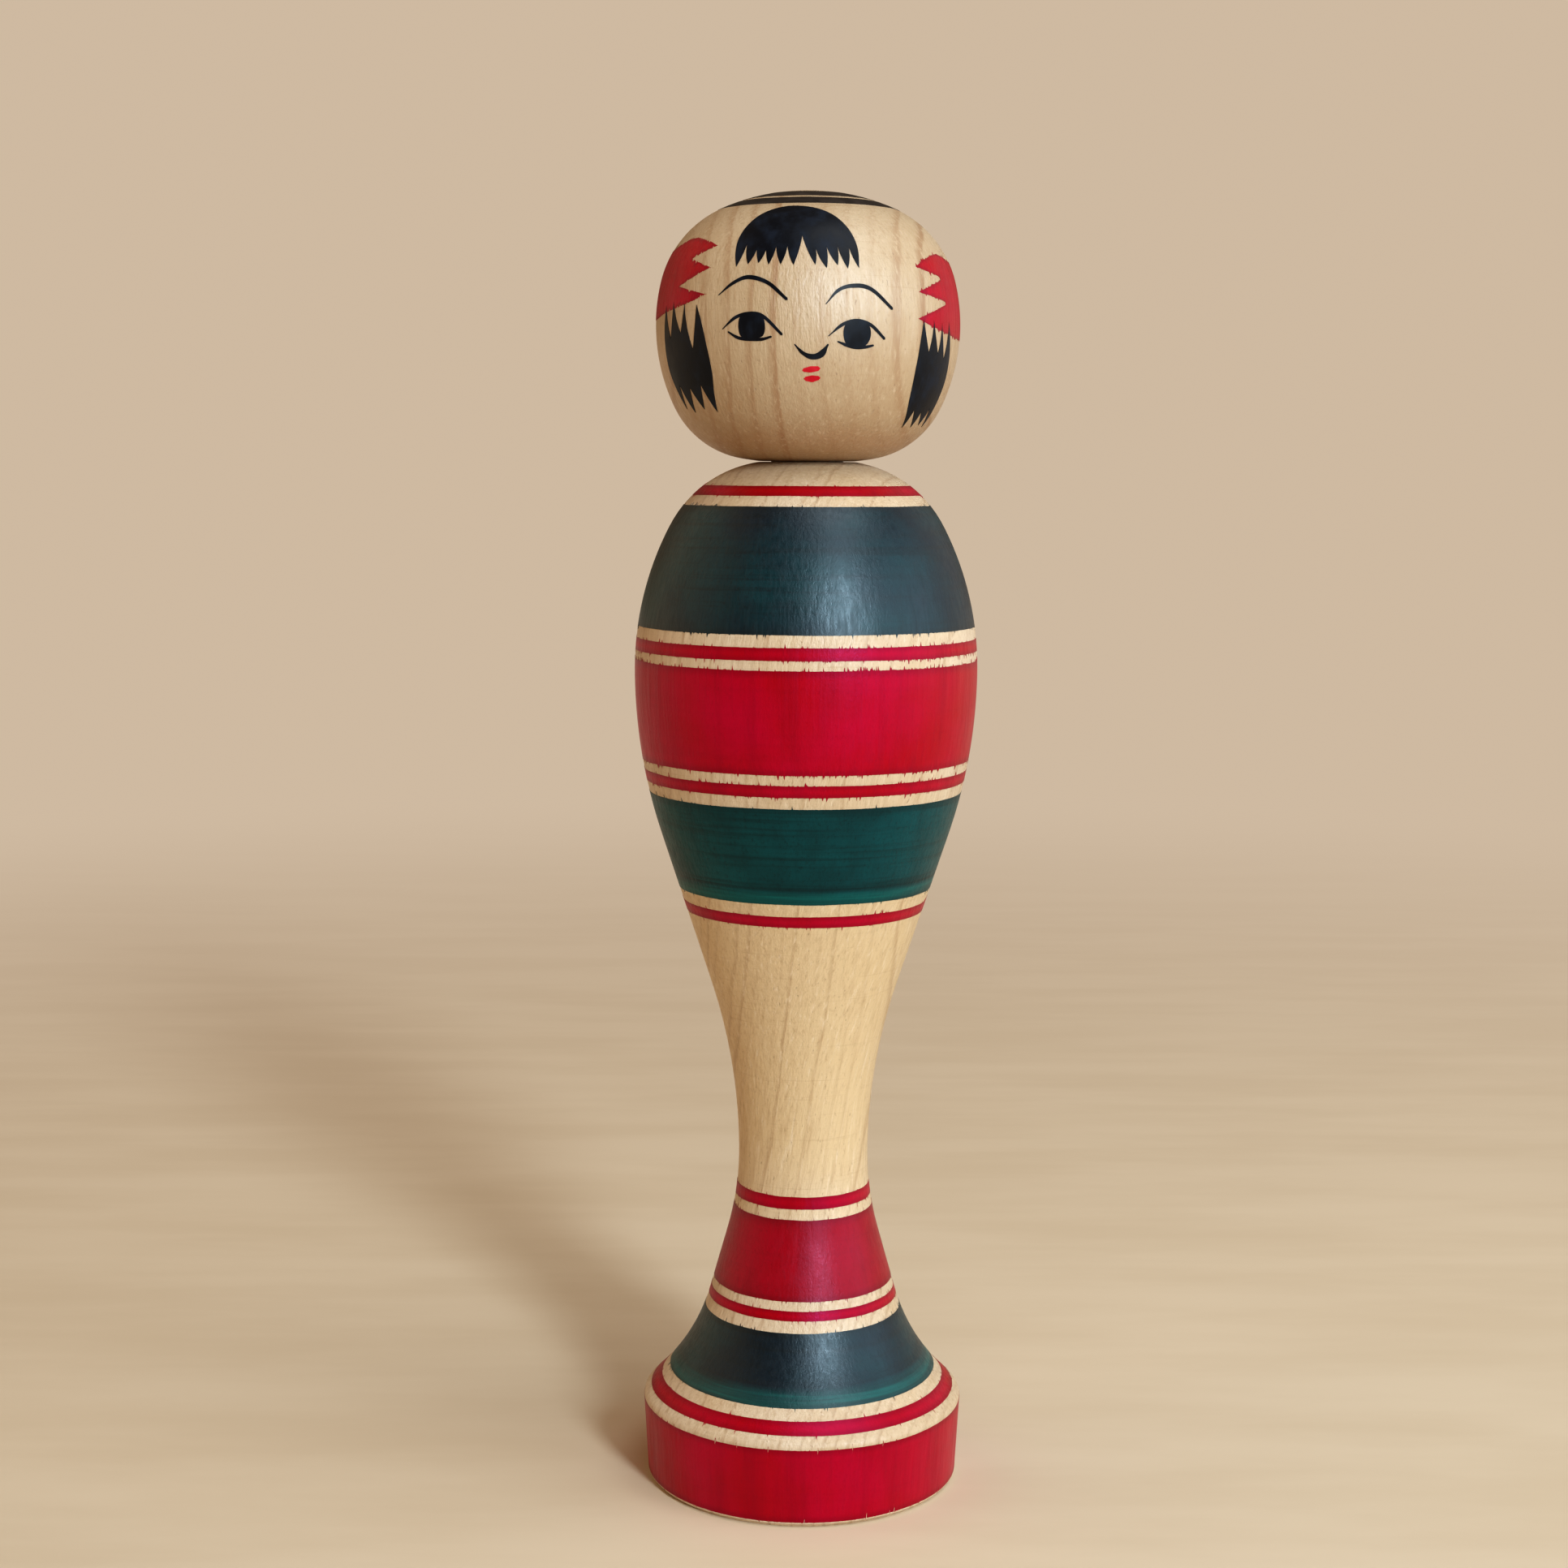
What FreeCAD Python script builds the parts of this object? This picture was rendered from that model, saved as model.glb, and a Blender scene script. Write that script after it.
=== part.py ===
import FreeCAD, Part
import math
import os
import Sketcher

# Traditional turned doll in two pieces, standing on the XY plane with its axis
# on +Z and its face towards -Y.  Both pieces are turned solids: each outline is
# a chain of lines and tangent arcs, spun once about the axis.
# The head's neck plug is sprung into an undercut socket in the shoulders, so
# the head turns for ever but does not lift off.

# Every size that can be set on its own: name, value, meaning.
# Lengths are in mm.  A share or a bend is a ratio, so the curves keep their
# character and stay tangent when an overall size changes.
SIZES = (
    ("total_height", 181.8, "floor to the top of the head"),
    ("head_height", 36.6, "seat under the head to its top"),
    ("head_radius", 20.9, "head at its widest"),
    ("chest_radius", 23.9, "body at its widest"),
    ("waist_radius", 9.2, "body at its narrowest"),
    ("foot_radius", 22.8, "foot at its widest"),
    ("widest_share", 0.5, "head's widest point, as a share of its height"),
    ("crown_bend", 1.244, "dome on top, against an ellipse's own radius there"),
    ("cheek_bend", 1.572, "side of the head, against an ellipse's radius there"),
    ("temple_bend", 0.787, "dome to side, as a share of the height above the widest point"),
    ("jaw_bend", 0.689, "side to underside, as a share of the height below it"),
    ("under_bend", 2.82, "gently domed underside, in head radii"),
    ("chest_share", 0.802, "height of the chest, as a share of the body"),
    ("waist_share", 0.325, "height of the waist, as a share of the body"),
    ("flare_share", 0.184, "height where the skirt begins to flare, as a share of the body"),
    ("foot_share", 0.078, "height where the foot rounds over, as a share of the body"),
    ("flank_bend", 0.897, "curved part of the flank; 1 leaves no straight between its arcs"),
    ("flank_split", 0.5207, "waist's part of the two arcs in the flank"),
    ("chest_bend", 1.32, "arc above the chest, against one that would run to the seat"),
    ("shoulder_bend", 0.96, "shoulder arc, in widths from the seat to the chest"),
    ("skirt_bend", 0.898, "arc below the waist, in waist heights"),
    ("skirt_angle", 15.8, "slope of the straight skirt from the axis, in degrees"),
    ("foot_round", 1.5, "radius on the foot's top edge"),
    ("foot_taper", 0.6, "how far the foot's side draws in at the bottom"),
    ("base_chamfer", 0.6, "chamfer round the bottom edge"),
    ("dish_radius", 15.0, "hollow turned in the underside"),
    ("dish_depth", 0.6, "depth of that hollow"),
    ("neck_radius", 5.0, "neck plug under the head"),
    ("seat_ring", 1.6, "width of the flat ring round the neck, where the pieces meet"),
    ("seat_gap", 0.12, "air between head and shoulders"),
    ("neck_fit", 0.06, "running clearance round the plug"),
    ("plug_length", 12.0, "seat to the end of the plug"),
    ("plug_chamfer", 0.8, "lead on the end of the plug"),
    ("plug_end_gap", 0.7, "air under the end of the plug"),
    ("bead_depth", 3.6, "seat to the top of the plug's bead"),
    ("bead_height", 3.2, "height of the bead"),
    ("bead_rise", 0.55, "how far the bead stands out of the plug"),
    ("bead_clearance", 0.2, "air round the bead in its undercut"),
    ("mouth_chamfer", 0.5, "lead at the mouth of the socket"),
)

START = 1
END = 2
CENTRE = 3


def worth(thing):
    """The number in an amount, or a plain number as it is."""
    return thing.value if isinstance(thing, Amount) else thing


def words(thing):
    """The formula of an amount, or a plain number written out."""
    return thing.text if isinstance(thing, Amount) else str(thing)


class Amount:
    """A number together with the sheet formula that gives it."""

    def __init__(self, value, text):
        self.value = value
        self.text = text

    def joined(self, sign, other, value):
        return Amount(value, "(%s %s %s)" % (self.text, sign, words(other)))

    def __add__(self, other):
        return self.joined("+", other, self.value + worth(other))

    def __sub__(self, other):
        return self.joined("-", other, self.value - worth(other))

    def __mul__(self, other):
        return self.joined("*", other, self.value * worth(other))

    def __truediv__(self, other):
        return self.joined("/", other, self.value / worth(other))


doc = FreeCAD.newDocument("turned_doll")
sheet = doc.addObject("Spreadsheet::Sheet", "Sizes")
SIZE = {}
for row, (name, value, meaning) in enumerate(SIZES, start=1):
    sheet.set("A%d" % row, name)
    sheet.set("B%d" % row, str(value))
    sheet.set("C%d" % row, meaning)
    sheet.setAlias("B%d" % row, name)
    SIZE[name] = Amount(value, "Sizes." + name)
doc.recompute()


def point(x, z):
    """A sketch point: x is the distance from the axis, z the height."""
    return FreeCAD.Vector(worth(x), worth(z), 0)


def crossing(c1, r1, c2, r2):
    """The outer one of the two points that lie r1 from c1 and r2 from c2."""
    gap = c2 - c1
    along = (r1 ** 2 - r2 ** 2 + gap.Length ** 2) / (2 * gap.Length)
    across = math.sqrt(r1 ** 2 - along ** 2)
    unit = gap / gap.Length
    foot = c1 + unit * along
    side = point(-unit.y, unit.x) * across
    return max(foot + side, foot - side, key=lambda end: end.x)


def towards(start, end, distance):
    """The point at a distance from start, in the direction of end."""
    gap = end - start
    return start + gap * (distance / gap.Length)


class Outline:
    """A closed chain of lines and arcs in one sketch of one body."""

    def __init__(self, body, name):
        self.sketch = body.newObject("Sketcher::SketchObject", name)
        planes = body.Origin.OriginFeatures
        plane = [p for p in planes if getattr(p, "Role", "") == "XZ_Plane"][0]
        self.sketch.AttachmentSupport = [(plane, "")]
        self.sketch.MapMode = "FlatFace"

    def line(self, start, end):
        return self.sketch.addGeometry(Part.LineSegment(start, end), False)

    def arc(self, centre, radius, start, end):
        """An anticlockwise arc from start to end."""
        first = math.atan2(start.y - centre.y, start.x - centre.x)
        last = math.atan2(end.y - centre.y, end.x - centre.x)
        if last < first:
            last += 2 * math.pi
        circle = Part.Circle(centre, FreeCAD.Vector(0, 0, 1), worth(radius))
        return self.sketch.addGeometry(Part.ArcOfCircle(circle, first, last), False)

    def tie(self, kind, *where):
        return self.sketch.addConstraint(Sketcher.Constraint(kind, *where))

    def size(self, kind, amount, *where):
        """A driven size: its value follows the sheet through the amount's formula."""
        index = self.tie(kind, *where, amount.value)
        self.sketch.setExpression("Constraints[%d]" % index, amount.text)

    def at(self, geometry, end, x, z):
        """Puts one point at a distance from the axis and a height; None leaves one free."""
        if x is not None:
            self.size("DistanceX", x, -1, START, geometry, end)
        if z is not None:
            self.size("DistanceY", z, -1, START, geometry, end)

    def on_axis(self, geometry, end):
        self.tie("PointOnObject", geometry, end, -2)

    def level(self, geometry, end):
        """The arc starts or ends upright: that end is level with its centre."""
        self.tie("Horizontal", geometry, end, geometry, CENTRE)

    def chain(self, lines):
        """Joins pieces end to start, all the way round."""
        for one, two in zip(lines, lines[1:] + lines[:1]):
            self.tie("Coincident", one, END, two, START)


def turned(body, outline, kind, name):
    """Spins an outline a full turn about the axis, adding or cutting."""
    before = body.Shape.Volume if body.Tip else 0.0
    feature = body.newObject("PartDesign::" + kind, name)
    feature.Profile = outline.sketch
    feature.ReferenceAxis = (outline.sketch, ["V_Axis"])
    feature.Angle = 360.0
    outline.sketch.Visibility = False
    doc.recompute()
    grown = body.Shape.Volume > before
    if grown != (kind == "Revolution"):
        raise RuntimeError("%s changed nothing" % name)


# Heights and widths that follow from the sizes.
SEAT_Z = SIZE["total_height"] - SIZE["head_height"]
CROWN_Z = SEAT_Z - SIZE["seat_gap"]
SEAT_R = SIZE["neck_radius"] + SIZE["seat_ring"]
SOCKET_R = SIZE["neck_radius"] + SIZE["neck_fit"]


def body_outline(body):
    """Foot, skirt, waist, chest and shoulders, up to the seat for the head."""
    out = Outline(body, "BodyOutline")
    waist_r = SIZE["waist_radius"]
    chest_r = SIZE["chest_radius"]
    waist_z = CROWN_Z * SIZE["waist_share"]
    chest_z = CROWN_Z * SIZE["chest_share"]
    flare_z = CROWN_Z * SIZE["flare_share"]
    foot_z = CROWN_Z * SIZE["foot_share"]
    foot_round = SIZE["foot_round"]

    # Flank: an arc from the waist, a straight, and an arc to the chest.  Two arcs
    # that just met would add up to one known radius, and the bend is a share of it.
    rise = chest_z - waist_z
    spread = chest_r - waist_r
    arcs = (rise * rise + spread * spread) / (spread * 2) * SIZE["flank_bend"]
    high_r = arcs * SIZE["flank_split"]
    below_r = arcs - high_r

    # Chest to seat: an arc wider than the one that would run straight to the seat,
    # and a tighter one over the shoulder.
    fall = CROWN_Z - chest_z
    width = chest_r - SEAT_R
    above_r = (fall * fall + width * width) / (width * 2) * SIZE["chest_bend"]
    shoulder_r = width * SIZE["shoulder_bend"]
    low_r = waist_z * SIZE["skirt_bend"]

    base_r = SIZE["foot_radius"] - SIZE["foot_taper"]
    face_r = base_r - SIZE["base_chamfer"]
    face = point(face_r, 0)
    base = point(base_r, SIZE["base_chamfer"])
    round_c = point(SIZE["foot_radius"] - foot_round, foot_z)
    side_run = math.sqrt((round_c - base).Length ** 2 - foot_round.value ** 2)
    side_top = crossing(base, side_run, round_c, foot_round.value)

    waist = point(waist_r, waist_z)
    low_c = waist + point(low_r, 0)
    high_c = waist + point(high_r, 0)
    tilt = math.radians(SIZE["skirt_angle"].value)
    inward = point(-math.cos(tilt), -math.sin(tilt))
    skirt_top = low_c + inward * low_r.value
    skirt_run = (skirt_top.y - flare_z.value) / math.cos(tilt)
    skirt_end = skirt_top + point(math.sin(tilt), -math.cos(tilt)) * skirt_run

    # The flare leaves the skirt smoothly and meets the round on the foot smoothly.
    reach = skirt_end - round_c
    flare_r = (reach.Length ** 2 - foot_round.value ** 2) / (2 * (foot_round.value + inward.dot(reach)))
    flare_c = skirt_end - inward * flare_r
    flare_end = towards(flare_c, round_c, flare_r)

    chest = point(chest_r, chest_z)
    below_c = chest - point(below_r, 0)
    above_c = chest - point(above_r, 0)
    gap = below_c - high_c
    turn = math.atan2(gap.y, gap.x) + math.acos(arcs.value / gap.Length)
    flank = point(math.cos(turn), math.sin(turn))
    flank_low = high_c + flank * high_r.value
    flank_high = below_c - flank * below_r.value

    seat = point(SEAT_R, CROWN_Z)
    shoulder_c = crossing(above_c, above_r.value - shoulder_r.value, seat, shoulder_r.value)
    shoulder = towards(above_c, shoulder_c, above_r.value)

    floor = out.line(point(0, 0), face)
    bevel = out.line(face, base)
    side = out.line(base, side_top)
    edge = out.arc(round_c, foot_round, side_top, flare_end)
    flare = out.arc(flare_c, flare_r, skirt_end, flare_end)
    skirt = out.line(skirt_end, skirt_top)
    low = out.arc(low_c, low_r, waist, skirt_top)
    high = out.arc(high_c, high_r, flank_low, waist)
    straight = out.line(flank_low, flank_high)
    below = out.arc(below_c, below_r, flank_high, chest)
    above = out.arc(above_c, above_r, chest, shoulder)
    shoulders = out.arc(shoulder_c, shoulder_r, shoulder, seat)
    top = out.line(seat, point(0, CROWN_Z))
    axis = out.line(point(0, CROWN_Z), point(0, 0))

    out.tie("Coincident", floor, START, -1, START)
    out.tie("Coincident", floor, END, bevel, START)
    out.tie("Coincident", bevel, END, side, START)
    out.tie("Tangent", side, END, edge, START)
    out.tie("Tangent", edge, END, flare, END)
    out.tie("Tangent", flare, START, skirt, START)
    out.tie("Tangent", skirt, END, low, END)
    out.tie("Coincident", low, START, high, END)
    out.tie("Tangent", high, START, straight, START)
    out.tie("Tangent", straight, END, below, START)
    out.tie("Coincident", below, END, above, START)
    out.tie("Tangent", above, END, shoulders, START)
    out.tie("Coincident", shoulders, END, top, START)
    out.tie("Coincident", top, END, axis, START)
    out.tie("Coincident", axis, END, floor, START)
    out.tie("Horizontal", floor)
    out.tie("Horizontal", top)
    out.tie("Vertical", axis)
    out.level(low, START)
    out.level(high, END)
    out.level(below, END)
    out.level(above, START)

    out.at(floor, END, face_r, None)
    out.at(side, START, base_r, SIZE["base_chamfer"])
    out.at(edge, CENTRE, SIZE["foot_radius"] - foot_round, foot_z)
    out.at(skirt, START, None, flare_z)
    out.at(low, START, waist_r, waist_z)
    out.at(above, START, chest_r, chest_z)
    out.at(top, START, SEAT_R, CROWN_Z)
    out.size("Radius", foot_round, edge)
    out.size("Radius", low_r, low)
    out.size("Radius", high_r, high)
    out.size("Radius", below_r, below)
    out.size("Radius", above_r, above)
    out.size("Radius", shoulder_r, shoulders)
    slope = Amount(math.pi / 2 + tilt, "90 deg + %s * 1 deg" % SIZE["skirt_angle"].text)
    out.size("Angle", slope, -1, skirt)
    return out


def dish_outline(body):
    """The shallow hollow in the underside, so the doll stands on a ring."""
    out = Outline(body, "DishOutline")
    radius = SIZE["dish_radius"].value
    depth = SIZE["dish_depth"].value
    rim = point(radius, 0)
    deep = point(0, depth)
    ball = (radius ** 2 + depth ** 2) / (2 * depth)
    across = out.line(point(0, 0), rim)
    hollow = out.arc(deep - point(0, ball), ball, rim, deep)
    axis = out.line(deep, point(0, 0))
    out.chain([across, hollow, axis])
    out.tie("Coincident", across, START, -1, START)
    out.tie("Horizontal", across)
    out.tie("Vertical", axis)
    out.on_axis(hollow, CENTRE)
    out.at(across, END, SIZE["dish_radius"], None)
    out.at(hollow, END, None, SIZE["dish_depth"])
    return out


def neck_outline(body, name, radius, clearance, bottom, top, lead):
    """The plug or its socket: a cylinder with a bulging bead part-way down."""
    out = Outline(body, name)
    bead_top = SEAT_Z - SIZE["bead_depth"] + clearance
    bead_low = bead_top - SIZE["bead_height"] - clearance - clearance
    rise = SIZE["bead_rise"] + clearance
    half = (bead_top - bead_low) / 2
    bulge_r = (half * half + rise * rise) / (rise * 2)
    bulge_c = point(radius + rise - bulge_r, bead_low + half)

    floor = out.line(point(0, bottom), point(radius - lead, bottom))
    chain = [floor]
    if lead.value:
        chain.append(out.line(point(radius - lead, bottom), point(radius, bottom + lead)))
    tail = out.line(point(radius, bottom + lead), point(radius, bead_low))
    bulge = out.arc(bulge_c, bulge_r, point(radius, bead_low), point(radius, bead_top))
    stem = out.line(point(radius, bead_top), point(radius, top))
    cap = out.line(point(radius, top), point(0, top))
    axis = out.line(point(0, top), point(0, bottom))
    out.chain(chain + [tail, bulge, stem, cap, axis])
    out.tie("Horizontal", floor)
    out.tie("Horizontal", cap)
    out.tie("Vertical", tail)
    out.tie("Vertical", stem)
    out.tie("Vertical", axis)
    out.on_axis(floor, START)
    out.at(floor, START, None, bottom)
    out.at(cap, END, None, top)
    out.at(tail, END, radius, bead_low)
    out.at(stem, START, radius, bead_top)
    out.size("Radius", bulge_r, bulge)
    if lead.value:
        out.at(floor, END, radius - lead, None)
        out.at(tail, START, None, bottom + lead)
    return out


def mouth_outline(body):
    """The lead-in turned at the mouth of the socket."""
    out = Outline(body, "MouthOutline")
    wide = SOCKET_R + SIZE["mouth_chamfer"]
    deep = CROWN_Z - SIZE["mouth_chamfer"]
    across = out.line(point(0, deep), point(SOCKET_R, deep))
    slope = out.line(point(SOCKET_R, deep), point(wide, CROWN_Z))
    top = out.line(point(wide, CROWN_Z), point(0, CROWN_Z))
    axis = out.line(point(0, CROWN_Z), point(0, deep))
    out.chain([across, slope, top, axis])
    out.tie("Horizontal", across)
    out.tie("Horizontal", top)
    out.tie("Vertical", axis)
    out.on_axis(across, START)
    out.at(across, END, SOCKET_R, deep)
    out.at(slope, END, wide, CROWN_Z)
    return out


def head_outline(body):
    """Seat, domed underside, jaw, cheek, temple and crown."""
    out = Outline(body, "HeadOutline")
    top_z = SIZE["total_height"]
    half_width = SIZE["head_radius"]
    below = SIZE["head_height"] * SIZE["widest_share"]
    above = SIZE["head_height"] - below
    widest_z = SEAT_Z + below

    crown_r = half_width * half_width / above * SIZE["crown_bend"]
    cheek_r = above * above / half_width * SIZE["cheek_bend"]
    temple_r = above * SIZE["temple_bend"]
    jaw_r = below * SIZE["jaw_bend"]
    under_r = half_width * SIZE["under_bend"]

    seat = point(SEAT_R, SEAT_Z)
    crown_c = point(0, top_z - crown_r)
    cheek_c = point(half_width - cheek_r, widest_z)
    under_c = seat + point(-SEAT_R.value, math.sqrt(under_r.value ** 2 - SEAT_R.value ** 2))
    temple_c = crossing(cheek_c, cheek_r.value - temple_r.value,
                        crown_c, crown_r.value - temple_r.value)
    jaw_c = crossing(cheek_c, cheek_r.value - jaw_r.value,
                     under_c, under_r.value - jaw_r.value)
    crown_end = towards(crown_c, temple_c, crown_r.value)
    temple_end = towards(cheek_c, temple_c, cheek_r.value)
    cheek_end = towards(cheek_c, jaw_c, cheek_r.value)
    under_end = towards(under_c, jaw_c, under_r.value)

    flat = out.line(point(0, SEAT_Z), seat)
    under = out.arc(under_c, under_r, seat, under_end)
    jaw = out.arc(jaw_c, jaw_r, under_end, cheek_end)
    cheek = out.arc(cheek_c, cheek_r, cheek_end, temple_end)
    temple = out.arc(temple_c, temple_r, temple_end, crown_end)
    crown = out.arc(crown_c, crown_r, crown_end, point(0, top_z))
    axis = out.line(point(0, top_z), point(0, SEAT_Z))

    out.tie("Coincident", flat, END, under, START)
    out.tie("Tangent", under, END, jaw, START)
    out.tie("Tangent", jaw, END, cheek, START)
    out.tie("Tangent", cheek, END, temple, START)
    out.tie("Tangent", temple, END, crown, START)
    out.tie("Coincident", crown, END, axis, START)
    out.tie("Coincident", axis, END, flat, START)
    out.tie("Horizontal", flat)
    out.tie("Vertical", axis)
    out.on_axis(crown, END)
    out.on_axis(crown, CENTRE)
    out.on_axis(under, CENTRE)
    out.at(crown, END, None, top_z)
    out.at(flat, END, SEAT_R, SEAT_Z)
    out.at(cheek, CENTRE, half_width - cheek_r, widest_z)
    out.size("Radius", crown_r, crown)
    out.size("Radius", temple_r, temple)
    out.size("Radius", cheek_r, cheek)
    out.size("Radius", jaw_r, jaw)
    out.size("Radius", under_r, under)
    return out


NOTHING = Amount(0.0, "0")
plug_z = SEAT_Z - SIZE["plug_length"]
socket_z = plug_z - SIZE["plug_end_gap"]

body = doc.addObject("PartDesign::Body", "BodyPiece")
body.Label = "body"
turned(body, body_outline(body), "Revolution", "TurnedBody")
turned(body, dish_outline(body), "Groove", "UndersideDish")
socket = neck_outline(body, "SocketOutline", SOCKET_R, SIZE["bead_clearance"],
                      socket_z, CROWN_Z, NOTHING)
turned(body, socket, "Groove", "NeckSocket")
turned(body, mouth_outline(body), "Groove", "SocketMouth")

head = doc.addObject("PartDesign::Body", "HeadPiece")
head.Label = "head"
turned(head, head_outline(head), "Revolution", "TurnedHead")
plug = neck_outline(head, "PlugOutline", SIZE["neck_radius"], NOTHING,
                    plug_z, SEAT_Z, SIZE["plug_chamfer"])
turned(head, plug, "Revolution", "NeckPlug")

doc.recompute()

for thing in doc.Objects:
    for word in ("Invalid", "Error"):
        if word in thing.State:
            raise RuntimeError("%s is %s" % (thing.Name, word))

os.makedirs("parts", exist_ok=True)
for piece in (body, head):
    shape = piece.Shape
    if shape.isNull() or not shape.isValid() or len(shape.Solids) != 1:
        raise RuntimeError("%s is not one sound solid" % piece.Label)
    shape.exportStep(os.path.join("parts", piece.Label + ".step"))
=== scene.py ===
"""Kokeshi doll: a turned body and a turned head, with the dyed bands, the hair and the face.

The two wooden pieces are turned again from the outlines of the CAD nodes, with finer steps.
Dye and ink are thin films that lie on the wood. A place on a piece is given as its azimuth,
in degrees from the front towards the doll's left hand, and its height, in millimetres.

The heights of the bands, the radii of the crown rings and the places of the hair, ornaments and
face were measured: points read off the photograph were turned into azimuths and heights by
scratch scripts, and some were then corrected by hand.
"""
import math
import random

import bpy
from mathutils import Euler, Matrix, Vector
from mathutils.geometry import delaunay_2d_cdt


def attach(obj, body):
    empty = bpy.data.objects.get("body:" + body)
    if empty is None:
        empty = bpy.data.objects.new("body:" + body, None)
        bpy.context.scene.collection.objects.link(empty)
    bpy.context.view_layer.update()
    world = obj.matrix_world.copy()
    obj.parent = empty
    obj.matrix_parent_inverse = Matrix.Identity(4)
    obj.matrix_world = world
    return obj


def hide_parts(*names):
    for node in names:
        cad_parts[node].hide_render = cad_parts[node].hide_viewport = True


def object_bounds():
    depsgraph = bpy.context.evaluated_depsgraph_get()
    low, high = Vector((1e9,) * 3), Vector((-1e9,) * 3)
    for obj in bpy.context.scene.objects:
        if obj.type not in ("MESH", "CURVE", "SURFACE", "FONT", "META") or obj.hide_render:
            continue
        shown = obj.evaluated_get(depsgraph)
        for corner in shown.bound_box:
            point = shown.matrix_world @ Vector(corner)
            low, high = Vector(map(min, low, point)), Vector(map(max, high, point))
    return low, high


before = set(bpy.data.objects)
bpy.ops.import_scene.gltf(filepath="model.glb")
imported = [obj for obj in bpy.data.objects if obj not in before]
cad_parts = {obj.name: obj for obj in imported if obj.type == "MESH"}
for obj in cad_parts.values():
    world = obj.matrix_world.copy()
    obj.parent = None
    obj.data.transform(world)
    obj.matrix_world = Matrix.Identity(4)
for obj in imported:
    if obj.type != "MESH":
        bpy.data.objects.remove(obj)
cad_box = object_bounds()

# Millimetres here belong to a doll this tall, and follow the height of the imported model.
DESIGN_HEIGHT = 181.8
MM = (cad_box[1].z - cad_box[0].z) / DESIGN_HEIGHT

# ---- fineness of the meshes, mm and columns
WOOD_ROW = 0.7
WOOD_COLUMNS = 256
FILM_ROW = 1.3
FILM_COLUMNS = 1800
PATCH_SPACING = 0.5
PATCH_CLEAR = 0.55 * PATCH_SPACING
OUTLINE_STEP = 0.16

# ---- films, mm
DYE_LIFT = 0.035
INK_LIFT = 0.055
FILM_ROOT = 0.03
# Where the dye is weak at a band's lower edge, it's full strength this far above it.
THIN_REACH = 5.2
# A dyed edge strays by a little everywhere, and by this much at most where a hair has bled.
EDGE_WANDER = 0.035
HAIR_REACH = 0.6
# The least radius that is still a ring of points and not a point on the axis.
ON_AXIS = 0.01

CORNER_ANGLE = math.radians(12)
SHARP_ANGLE = math.radians(25)


# ============================================================ outlines read from the frame

def seam_points(node):
    """The node's outline as (radius, height), in mm, walked along the edges on its +X side."""
    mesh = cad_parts[node].data
    grid = 1e-6
    places = {}
    for vertex in mesh.vertices:
        x, y, z = vertex.co
        if abs(y) < grid and x > -grid:
            places[vertex.index] = (round(x / grid), round(z / grid))
    links = {}
    for edge in mesh.edges:
        first, second = (places.get(index) for index in edge.vertices)
        if first is None or second is None or first == second:
            continue
        links.setdefault(first, set()).add(second)
        links.setdefault(second, set()).add(first)
    ends = [place for place, others in links.items() if len(others) == 1]
    # The walk starts under the piece: on the axis if the outline reaches it there.
    here = min(ends, key=lambda place: (place[1] if node == "head" else place[0], place[0]))
    walk = [here]
    before = None
    while True:
        onward = [place for place in links[here] if place != before]
        if not onward:
            break
        before = here
        here = onward[0]
        walk.append(here)
    points = [Vector((x * grid / MM, z * grid / MM)) for x, z in walk]
    for end, index in ((points[0], 0), (points[-1], len(points))):
        if end.x > ON_AXIS:
            points.insert(index, Vector((0, end.y)))
    return points


def tangent(before, here, after):
    """The direction of a smooth line through three of its points, or None at a corner."""
    first = here - before
    second = after - here
    if first.angle(second) > CORNER_ANGLE:
        return None
    longer, shorter = max(first.length, second.length), min(first.length, second.length)
    if longer > 2.5 * shorter:
        return (first if first.length > second.length else second).normalized()
    return (first.normalized() * second.length + second.normalized() * first.length).normalized()


def refined(points, step):
    """The outline with more points: cubic between smooth points, straight at corners."""
    directions = [None]
    for before, here, after in zip(points, points[1:], points[2:]):
        directions.append(tangent(before, here, after))
    directions.append(None)
    finer = [points[0]]
    for index in range(len(points) - 1):
        start, stop = points[index], points[index + 1]
        chord = stop - start
        leave = (directions[index] or chord.normalized()) * chord.length
        arrive = (directions[index + 1] or chord.normalized()) * chord.length
        parts = max(1, math.ceil(chord.length / step))
        for part in range(1, parts + 1):
            t = part / parts
            finer.append(
                start * (1 + t * t * (2 * t - 3))
                + leave * (t * (1 - t) ** 2)
                + arrive * (t * t * (t - 1))
                + stop * (t * t * (3 - 2 * t))
            )
    return finer


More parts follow.
